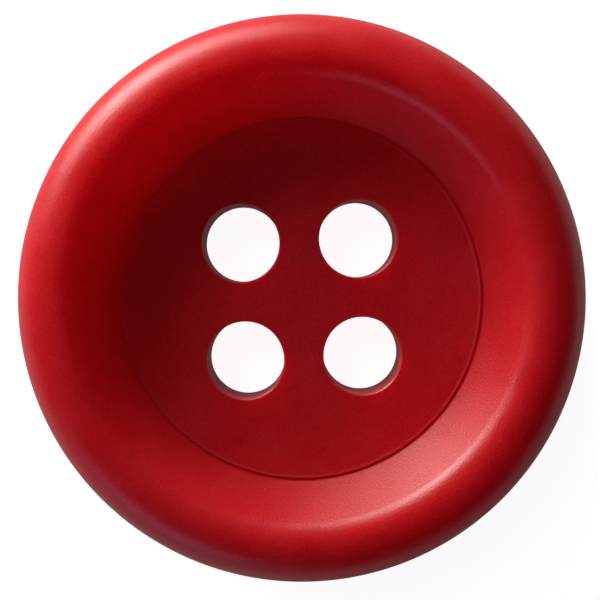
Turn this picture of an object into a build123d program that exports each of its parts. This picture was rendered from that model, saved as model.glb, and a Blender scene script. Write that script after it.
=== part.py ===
"""A round sew-through button, face up: dished face, rolled rim and four thread holes.

The section is turned about +Z, and the flat back lies on z = 0. Lengths are in mm, angles in degrees.
"""

import os
from math import asin, atan2, cos, degrees, hypot, radians, sin, tan

from build123d import *

DIAMETER = 20.32  # 32 ligne
HEIGHT = 3.93  # back to the crest of the rim
WEB = 2.00  # back to the floor of the dish
RIM_WIDTH = 3.53  # outside of the rim to the edge of the floor
CREST_INSET = 1.62  # outside of the rim to its crest, and the rounding between them
CREST_RADIUS = 1.00  # rounding from the crest down to the dish wall
GROOVE_WIDTH = 0.12  # turned groove round the floor, at the foot of the dish wall
GROOVE_DEPTH = 0.05
LIP_WIDTH = 0.12  # low lip that the groove has on its floor side
LIP_HEIGHT = 0.02
HOLE_DIAMETER = 2.82
HOLE_SPACING = 4.26  # side of the square that the holes stand on
HOLE_EDGE = 0.05  # broken edge at the mouths of the holes, front and back

OUTER = DIAMETER / 2
CREST = OUTER - CREST_INSET
FLOOR = OUTER - RIM_WIDTH
WIDEST_Z = HEIGHT - CREST_INSET
CREST_CENTRE_Z = HEIGHT - CREST_RADIUS


def on_circle(x, z, radius, angle):
    """The point of a circle round (x, z) at this angle from its top, positive outward."""
    return (x + radius * sin(radians(angle)), z + radius * cos(radians(angle)))


def wall_slope():
    """Slope of the straight dish wall, which rises from the edge of the floor to touch the crest."""
    across = CREST - FLOOR
    up = CREST_CENTRE_Z - WEB
    return degrees(atan2(up, across) + asin(CREST_RADIUS / hypot(across, up)))


def dish_line():
    """Points of the section from the top of the dish wall, over groove and lip, to the axis."""
    slope = wall_slope()
    groove_z = WEB - GROOVE_DEPTH
    groove_inner = FLOOR - GROOVE_WIDTH
    return [
        on_circle(CREST, CREST_CENTRE_Z, CREST_RADIUS, -slope),
        (FLOOR - GROOVE_DEPTH / tan(radians(slope)), groove_z),
        (groove_inner, groove_z),
        (groove_inner, WEB + LIP_HEIGHT),
        (groove_inner - LIP_WIDTH, WEB),
        (0, WEB),
    ]


def section():
    """Half of the section, on the XZ plane: the back, the round outside, the crest and the dish."""
    back_edge = (OUTER - WIDEST_Z, 0)
    widest = (OUTER, WIDEST_Z)
    crest = (CREST, HEIGHT)
    dish = dish_line()
    with BuildSketch(Plane.XZ) as half:
        with BuildLine():
            Line((0, 0), back_edge)
            ThreePointArc(back_edge, on_circle(back_edge[0], WIDEST_Z, WIDEST_Z, 135), widest)
            ThreePointArc(widest, on_circle(CREST, WIDEST_Z, CREST_INSET, 45), crest)
            halfway = -wall_slope() / 2
            ThreePointArc(crest, on_circle(CREST, CREST_CENTRE_Z, CREST_RADIUS, halfway), dish[0])
            Polyline(*dish, (0, 0))
        make_face()
    return half.sketch


def button():
    """The turned body with its four holes and their broken edges."""
    with BuildPart() as body:
        add(section())
        revolve(axis=Axis.Z)
        with GridLocations(HOLE_SPACING, HOLE_SPACING, 2, 2):
            Hole(HOLE_DIAMETER / 2)
        circles = body.edges().filter_by(GeomType.CIRCLE)
        mouths = [e for e in circles if abs(e.radius - HOLE_DIAMETER / 2) < 1e-6]
        chamfer(mouths, HOLE_EDGE)
    return body.part


os.makedirs("parts", exist_ok=True)
export_step(button(), "parts/button.step")
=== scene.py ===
"""Looks of a round sew-through button: its rim, dish and thread holes as one fine mesh, in satin red plastic.

The section is the CAD part's, in mm and degrees. Everything that Blender gets is in metres.
"""

from math import asin, atan2, cos, degrees, hypot, pi, radians, sin, tan

import bmesh
import bpy
from mathutils import Matrix, Vector


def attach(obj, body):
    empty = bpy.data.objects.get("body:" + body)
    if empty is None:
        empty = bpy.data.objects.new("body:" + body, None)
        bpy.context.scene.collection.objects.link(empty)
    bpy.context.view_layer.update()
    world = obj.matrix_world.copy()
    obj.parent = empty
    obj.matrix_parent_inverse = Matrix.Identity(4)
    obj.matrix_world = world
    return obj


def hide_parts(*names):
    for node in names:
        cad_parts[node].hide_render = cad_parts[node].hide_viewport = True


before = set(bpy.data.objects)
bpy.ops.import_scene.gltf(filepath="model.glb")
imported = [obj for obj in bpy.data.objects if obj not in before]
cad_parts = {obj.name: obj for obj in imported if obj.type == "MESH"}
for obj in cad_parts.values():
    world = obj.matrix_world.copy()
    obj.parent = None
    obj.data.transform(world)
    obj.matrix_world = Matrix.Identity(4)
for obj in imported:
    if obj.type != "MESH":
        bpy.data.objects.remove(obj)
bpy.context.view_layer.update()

MM = 0.001

# section of the button
OUTER = 10.16
HEIGHT = 3.93
WEB = 2.00
RIM_WIDTH = 3.53
CREST_INSET = 1.62
CREST_RADIUS = 1.00
GROOVE_WIDTH = 0.12
GROOVE_DEPTH = 0.05
GROOVE_SIDE = 0.015  # lean of the groove's steep side
LIP_WIDTH = 0.12
LIP_HEIGHT = 0.02
HOLE_RADIUS = 1.41
HOLE_SPACING = 4.26
HOLE_EDGE = 0.05
CREST = OUTER - CREST_INSET
FLOOR = OUTER - RIM_WIDTH
WIDEST_Z = HEIGHT - CREST_INSET
CREST_CENTRE_Z = HEIGHT - CREST_RADIUS

# fineness of the mesh
AROUND_RIM = 288
AROUND_HOLE = 72
ALONG_UNDERSIDE = 30
ALONG_OUTSIDE = 36
ALONG_CREST = 28
ALONG_WALL = 8
ALONG_HOLE = 6
SHARP_ANGLE = 28

# camera, as fitted to the outline and the four holes in the 600 x 600 picture
IMAGE_PX = 600
FOCAL_PX = 991.8
SENSOR_MM = 36.0
CAMERA_MM = (0.109, 0.959, 38.0)
CAMERA_ROLL = 2.27
NADIR_PX = (3.5, 27.0)  # the point straight below the camera, right of and above the picture's middle

# plastic
RED_DEEP = (0.74, 0.001, 0.006, 1)
RED_LIGHT = (0.92, 0.028, 0.040, 1)
RED_SPECKS_AND_HIGHLIGHTS = (0.95, 0.06, 0.07, 1)  # pale specks, and painted highlights: the lip's light line, and the hole mouths, which the thread also rubs
RED_GROOVE_SHADE = (0.30, 0.004, 0.006, 1)  # painted shade: the groove's dark line
ROUGHNESS = (0.32, 0.38)
GLOSS = 0.65
SURFACE_SHARE = 0.4  # of the light, the part that comes back without going in
LIGHT_PATH = (9.0, 0.3, 0.3)  # how far red, green and blue light go in the plastic, in mm
FORWARD_SCATTER = 0.7
REFRACTION = 1.5
MOTTLE_MM = 1.3
MOTTLE_SHARE = 0.3  # of the way from the deep red to the light one
GRAIN_MM = 0.055
GRAIN_SHARE = 0.7
GRAIN_DEPTH_MM = 0.011
NOISE_RANGE = (0.3, 0.7)  # where nearly all values of the noise lie
SPECK_MM = 0.11
SPECK_PEAKS = (0.76, 0.82)  # the few peaks of the noise that show as specks
SPECK_STRENGTH = 0.6
BRIGHT_LINE_MM = 0.03  # half the width of a painted highlight line on the lip or at a hole
# painted highlight on the lip: how far the colour goes towards the pale red
LIP_HIGHLIGHT = 0.6
# lighter hole mouths, partly thread wear and partly painted highlight on their edges
MOUTH_WEAR_AND_HIGHLIGHT = 0.5
# painted shade in the groove: how far the colour goes towards the darker red
GROOVE_SHADE = 0.12
FRONT_SHARE = (0.5, 0.6)  # of the web, where the lip's painted highlight and the groove's painted shade begin and are full
LIT_SIDE_MM = 5  # the groove's painted shade and the lip's painted highlight fade out towards the part of the dish in the rim's shadow, as x - y goes from this down to minus this

# floor and room: how white the camera sees them, and how bright they are in reflections
FLOOR_WHITE = 0.93
FLOOR_MIRRORED = 0.10
FLOOR_COLOUR = (0.75, 0.75, 0.75, 1)
FLOOR_SIZE = 1.5
FLOOR_GAP = 0.02  # keeps the flat back clear of the floor's plane
WHITE = (1, 1, 1, 1)
ROOM_WHITE = 0.97
ROOM_DARK = 0.018  # in reflections and as light on the button
ROOM_COLOUR = (0.6, 0.4, 1.0, 1)

# lamps
LAMP_DISTANCE = 250
WARM_LIGHT = (1.0, 0.97, 0.93)
PURPLE_LIGHT = (0.70, 0.58, 1.0)


def arc(x, z, radius, start, end, steps):
    """Points of a circle round (x, z), by angle from its top, positive outward."""
    angles = [radians(start + (end - start) * i / steps) for i in range(steps + 1)]
    return [(x + radius * sin(a), z + radius * cos(a)) for a in angles]


def wall_slope():
    """Slope of the straight dish wall, from the edge of the floor to where it touches the crest."""
    across = CREST - FLOOR
    up = CREST_CENTRE_Z - WEB
    return degrees(atan2(up, across) + asin(CREST_RADIUS / hypot(across, up)))


def line(start, end, steps):
    """Points after start, up to end."""
    return [
        (start[0] + (end[0] - start[0]) * i / steps, start[1] + (end[1] - start[1]) * i / steps)
        for i in range(1, steps + 1)
    ]


def rim_section():
    """The section from the edge of the flat back, round the rim and down the dish, to the floor's edge."""
    slope = wall_slope()
    points = arc(OUTER - WIDEST_Z, WIDEST_Z, WIDEST_Z, 180, 90, ALONG_UNDERSIDE)
    points += arc(CREST, WIDEST_Z, CREST_INSET, 90, 0, ALONG_OUTSIDE)[1:]
    points += arc(CREST, CREST_CENTRE_Z, CREST_RADIUS, 0, -slope, ALONG_CREST)[1:]
    groove_z = WEB - GROOVE_DEPTH
    foot = FLOOR - GROOVE_DEPTH / tan(radians(slope))
    points += line(points[-1], (foot, groove_z), ALONG_WALL)
    inner = FLOOR - GROOVE_WIDTH
    points.append((inner + GROOVE_SIDE, groove_z))
    points.append((inner - GROOVE_SIDE, WEB + LIP_HEIGHT))
    points.append((inner - LIP_WIDTH, WEB))
    return points


def hole_section():
    """The wall of a hole from its front mouth to its back one, by distance from the hole's middle."""
    mouth = HOLE_RADIUS + HOLE_EDGE
    front = [(mouth, WEB), (HOLE_RADIUS, WEB - HOLE_EDGE)]
    back = [(HOLE_RADIUS, HOLE_EDGE), (mouth, 0)]
    return front + line(front[-1], back[0], ALONG_HOLE) + back[1:]


def ring(bm, x, y, radius, z, count):
    """A ring of points about a line through (x, y)."""
    turns = [2 * pi * i / count for i in range(count)]
    return [bm.verts.new(Vector((x + radius * cos(a), y + radius * sin(a), z)) * MM) for a in turns]


def tube(bm, x, y, section, count):
    """Faces between rings that follow a section. Gives the edges of the first ring and of the last."""
    rings = [ring(bm, x, y, radius, z, count) for radius, z in section]
    for near, far in zip(rings, rings[1:]):
        for i in range(count):
            j = (i + 1) % count
            bm.faces.new((near[i], near[j], far[j], far[i]))
    return [
        [bm.edges.get((loop[i], loop[(i + 1) % count])) for i in range(count)]
        for loop in (rings[0], rings[-1])
    ]


def make_button():
    """The whole button: rim and dish wall, four hole walls, and the flat floor and back between them."""
    bm = bmesh.new()
    back, floor = tube(bm, 0, 0, rim_section(), AROUND_RIM)
    half = HOLE_SPACING / 2
    for x in (-half, half):
        for y in (-half, half):
            front_mouth, back_mouth = tube(bm, x, y, hole_section(), AROUND_HOLE)
            floor += front_mouth
            back += back_mouth
    bmesh.ops.triangle_fill(bm, use_beauty=True, use_dissolve=False, edges=floor)
    bmesh.ops.triangle_fill(bm, use_beauty=True, use_dissolve=False, edges=back)
    bmesh.ops.recalc_face_normals(bm, faces=bm.faces)
    for face in bm.faces:
        face.smooth = True
    mesh = bpy.data.meshes.new("button_body")
    bm.to_mesh(mesh)
    bm.free()
    mesh.set_sharp_from_angle(angle=radians(SHARP_ANGLE))
    piece = bpy.data.objects.new("button_body", mesh)
    bpy.context.scene.collection.objects.link(piece)
    normals = piece.modifiers.new("normals", "WEIGHTED_NORMAL")
    normals.keep_sharp = True
    return piece


def make_camera():
    """The photograph's view, from just above the button."""
    data = bpy.data.cameras.new("camera")
    data.sensor_fit = "HORIZONTAL"
    data.sensor_width = SENSOR_MM
    data.lens = SENSOR_MM * FOCAL_PX / IMAGE_PX
    data.clip_start = MM
    camera = bpy.data.objects.new("camera", data)
    bpy.context.scene.collection.objects.link(camera)
    bpy.context.scene.camera = camera
    roll = radians(CAMERA_ROLL)
    right = Vector((cos(roll), -sin(roll), 0))
    up = Vector((sin(roll), cos(roll), 0))
    facing = Matrix((right, up, Vector((0, 0, 1)))).transposed()
    nadir = Vector((*NADIR_PX, -FOCAL_PX))
    tilt = Vector((0, 0, -1)).rotation_difference(nadir).to_matrix()
    turn = (facing @ tilt.inverted()).to_4x4()
    camera.matrix_world = Matrix.Translation(Vector(CAMERA_MM) * MM) @ turn


def put(nt, socket, value):
    """Links an output to a socket, or sets the socket to a value."""
    if isinstance(value, bpy.types.NodeSocket):
        nt.links.new(value, socket)
    else:
        socket.default_value = value


def math_node(nt, operation, first, second):
    """A math node with an output or a number on each side; gives its output."""
    node = nt.nodes.new("ShaderNodeMath")
    node.operation = operation
    put(nt, node.inputs[0], first)
    put(nt, node.inputs[1], second)
    return node.outputs[0]


def noise(nt, coords, size_mm, detail):
    """Noise with features of about this size."""
    node = nt.nodes.new("ShaderNodeTexNoise")
    node.inputs["Scale"].default_value = 1 / (size_mm * MM)
    node.inputs["Detail"].default_value = detail
    nt.links.new(coords, node.inputs["Vector"])
    return node.outputs["Fac"]


def spread(nt, value, low, high, to_low, to_high):
    """Maps low to high onto another range and stops at its ends."""
    node = nt.nodes.new("ShaderNodeMapRange")
    put(nt, node.inputs["Value"], value)
    for name, number in (("From Min", low), ("From Max", high), ("To Min", to_low), ("To Max", to_high)):
        node.inputs[name].default_value = number
    return node.outputs["Result"]


def blend_colour(nt, factor, first, second):
    """Mixes two colours by a factor."""
    node = nt.nodes.new("ShaderNodeMix")
    node.data_type = "RGBA"
    put(nt, node.inputs["Factor"], factor)
    put(nt, node.inputs["A"], first)
    put(nt, node.inputs["B"], second)
    return node.outputs["Result"]


def bump(nt, height, depth_mm):
    """Bump of this depth."""
    node = nt.nodes.new("ShaderNodeBump")
    node.inputs["Distance"].default_value = depth_mm * MM
    nt.links.new(height, node.inputs["Height"])
    return node.outputs["Normal"]


def distance(nt, coords, x, y, mirrored):
    """Distance, in mm, from the upright line through (x, y), or from its mirror images as well."""
    flat = nt.nodes.new("ShaderNodeVectorMath")
    flat.operation = "MULTIPLY"
    flat.inputs[1].default_value = (1 / MM, 1 / MM, 0)
    nt.links.new(coords, flat.inputs[0])
    end = flat.outputs["Vector"]
    if mirrored:
        fold = nt.nodes.new("ShaderNodeVectorMath")
        fold.operation = "ABSOLUTE"
        nt.links.new(end, fold.inputs[0])
        end = fold.outputs["Vector"]
    node = nt.nodes.new("ShaderNodeVectorMath")
    node.operation = "DISTANCE"
    node.inputs[1].default_value = (x, y, 0)
    nt.links.new(end, node.inputs[0])
    return node.outputs["Value"]


def near_line(nt, value, middle, half, strength):
    """A soft-edged mask for values within half of middle."""
    off = math_node(nt, "ABSOLUTE", math_node(nt, "SUBTRACT", value, middle), 0)
    return spread(nt, off, half, half * 2, strength, 0)


def red_plastic():
    """Cast red plastic that light goes into, faintly mottled, with a satin grain and a few pale specks; with
    painted shade in the groove, a painted highlight on the lip beside it, and lighter holes that are partly
    wear and partly painted highlight.
    """
    mat = bpy.data.materials.new("red_plastic_cast")
    mat.use_nodes = True
    nt = mat.node_tree
    coords = nt.nodes.new("ShaderNodeTexCoord").outputs["Object"]
    mottle = noise(nt, coords, MOTTLE_MM, 4)
    specks = noise(nt, coords, SPECK_MM, 0)
    grain = noise(nt, coords, GRAIN_MM, 1)
    patches = spread(nt, mottle, *NOISE_RANGE, 0.0, MOTTLE_SHARE)
    light = math_node(nt, "ADD", patches, spread(nt, grain, *NOISE_RANGE, 0, GRAIN_SHARE))
    colour = blend_colour(nt, light, RED_DEEP, RED_LIGHT)
    colour = blend_colour(nt, spread(nt, specks, *SPECK_PEAKS, 0, SPECK_STRENGTH), colour, RED_SPECKS_AND_HIGHLIGHTS)
    place = nt.nodes.new("ShaderNodeSeparateXYZ")
    nt.links.new(coords, place.inputs["Vector"])
    begins, full = (WEB * share * MM for share in FRONT_SHARE)
    front = spread(nt, place.outputs["Z"], begins, full, 0, 1)
    # the painted shade and highlight are kept to the half of the dish that the lamps light
    slant = math_node(nt, "SUBTRACT", place.outputs["X"], place.outputs["Y"])
    lit_side = spread(nt, slant, -LIT_SIDE_MM * MM, LIT_SIDE_MM * MM, 0, 1)
    front = math_node(nt, "MULTIPLY", front, lit_side)
    from_axis = distance(nt, coords, 0, 0, False)
    # painted shade in the groove, on the face only, fading out where the rim shades the dish
    groove_shade = near_line(nt, from_axis, FLOOR - GROOVE_WIDTH / 2, GROOVE_WIDTH / 3, GROOVE_SHADE)
    colour = blend_colour(nt, math_node(nt, "MULTIPLY", groove_shade, front), colour, RED_GROOVE_SHADE)
    # painted highlight: a lighter line on the lip beside the groove, on the face only, fading out where the
    # rim shades the dish
    lip_highlight = near_line(nt, from_axis, FLOOR - GROOVE_WIDTH - LIP_WIDTH / 2, BRIGHT_LINE_MM, LIP_HIGHLIGHT)
    # lighter band over each hole's mouths and wall: partly thread wear, partly painted highlight
    from_hole = distance(nt, coords, HOLE_SPACING / 2, HOLE_SPACING / 2, True)
    mouth_wear_and_highlight = near_line(nt, from_hole, HOLE_RADIUS + HOLE_EDGE / 2, BRIGHT_LINE_MM, MOUTH_WEAR_AND_HIGHLIGHT)
    # painted highlights: the lip's light line, and the lighter holes, which are partly wear
    highlights_and_wear = math_node(nt, "MAXIMUM", math_node(nt, "MULTIPLY", lip_highlight, front), mouth_wear_and_highlight)
    colour = blend_colour(nt, highlights_and_wear, colour, RED_SPECKS_AND_HIGHLIGHTS)
    shader = nt.nodes["Principled BSDF"]
    shader.subsurface_method = "RANDOM_WALK"
    shader.inputs["IOR"].default_value = REFRACTION
    shader.inputs["Specular IOR Level"].default_value = GLOSS
    shader.inputs["Subsurface Weight"].default_value = 1 - SURFACE_SHARE
    shader.inputs["Subsurface Radius"].default_value = LIGHT_PATH
    shader.inputs["Subsurface Scale"].default_value = MM
    shader.inputs["Subsurface Anisotropy"].default_value = FORWARD_SCATTER
    nt.links.new(colour, shader.inputs["Base Color"])
    nt.links.new(spread(nt, mottle, *NOISE_RANGE, *ROUGHNESS), shader.inputs["Roughness"])
    nt.links.new(bump(nt, grain, GRAIN_DEPTH_MM), shader.inputs["Normal"])
    return mat


def white_where_seen(nt, seen_level, mirrored_level, other_level):
    """A white glow: one level for camera and transmission rays, one for glossy rays, one for all others."""
    path = nt.nodes.new("ShaderNodeLightPath")
    seen = math_node(nt, "MAXIMUM", path.outputs["Is Camera Ray"], path.outputs["Is Transmission Ray"])
    seen = math_node(nt, "MULTIPLY", seen, seen_level)
    mirrored = math_node(nt, "MULTIPLY", path.outputs["Is Glossy Ray"], mirrored_level)
    level = math_node(nt, "MAXIMUM", seen, mirrored)
    return math_node(nt, "MAXIMUM", level, other_level)


def make_floor():
    """A wide pale floor that keeps the button's shadow, and that can be seen through from underneath."""
    bm = bmesh.new()
    bmesh.ops.create_grid(bm, x_segments=4, y_segments=4, size=FLOOR_SIZE)
    mesh = bpy.data.meshes.new("floor")
    bm.to_mesh(mesh)
    bm.free()
    floor = bpy.data.objects.new("floor", mesh)
    floor.location.z = -FLOOR_GAP * MM
    bpy.context.scene.collection.objects.link(floor)
    mat = bpy.data.materials.new("floor_white")
    mat.use_nodes = True
    nt = mat.node_tree
    shader = nt.nodes["Principled BSDF"]
    shader.inputs["Base Color"].default_value = FLOOR_COLOUR
    shader.inputs["Specular IOR Level"].default_value = 0
    shader.inputs["Emission Color"].default_value = WHITE
    glow = white_where_seen(nt, FLOOR_WHITE, FLOOR_MIRRORED, 0)
    nt.links.new(glow, shader.inputs["Emission Strength"])
    clear = nt.nodes.new("ShaderNodeBsdfTransparent")
    sides = nt.nodes.new("ShaderNodeMixShader")
    nt.links.new(nt.nodes.new("ShaderNodeNewGeometry").outputs["Backfacing"], sides.inputs["Fac"])
    nt.links.new(shader.outputs["BSDF"], sides.inputs[1])
    nt.links.new(clear.outputs["BSDF"], sides.inputs[2])
    nt.links.new(sides.outputs["Shader"], nt.nodes["Material Output"].inputs["Surface"])
    mesh.materials.append(mat)


def make_room():
    """Dark, faintly purple surroundings that show as plain white behind the button."""
    world = bpy.data.worlds.new("room")
    bpy.context.scene.world = world
    world.use_nodes = True
    nt = world.node_tree
    back = nt.nodes["Background"]
    seen = white_where_seen(nt, 1, 0, 0)
    nt.links.new(blend_colour(nt, seen, ROOM_COLOUR, WHITE), back.inputs["Color"])
    nt.links.new(white_where_seen(nt, ROOM_WHITE, ROOM_DARK, ROOM_DARK), back.inputs["Strength"])


def soft_lamp(name, azimuth, elevation, far, size, watts, colour):
    """A lamp that faces the middle of the button: its direction in degrees, its distance and size in mm."""
    data = bpy.data.lights.new(name, "AREA")
    data.shape = "RECTANGLE"
    data.size = size[0] * MM
    data.size_y = size[1] * MM
    data.energy = watts
    data.color = colour
    lamp = bpy.data.objects.new(name, data)
    bpy.context.scene.collection.objects.link(lamp)
    around = radians(azimuth)
    up = radians(elevation)
    away = Vector((cos(up) * cos(around), cos(up) * sin(around), sin(up)))
    lamp.location = (Vector((0, 0, WEB)) + away * far) * MM
    lamp.rotation_euler = away.to_track_quat("Z", "Y").to_euler()
    return lamp


make_camera()
button = make_button()
button.data.materials.append(red_plastic())
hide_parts("button")
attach(button, "root")

make_floor()
make_room()
bpy.context.scene.view_settings.view_transform = "Standard"
soft_lamp("lamp_key", 121, 13.5, LAMP_DISTANCE, (260, 110), 0.52, WARM_LIGHT)
soft_lamp("lamp_core", 127, 13.5, LAMP_DISTANCE - 5, (60, 80), 0.24, WARM_LIGHT)
soft_lamp("lamp_side", 236, 18, LAMP_DISTANCE, (170, 40), 0.05, PURPLE_LIGHT)
fill = soft_lamp("lamp_fill", 127.8, 50, LAMP_DISTANCE, (150, 150), 0.062, WARM_LIGHT)
fill.visible_glossy = False
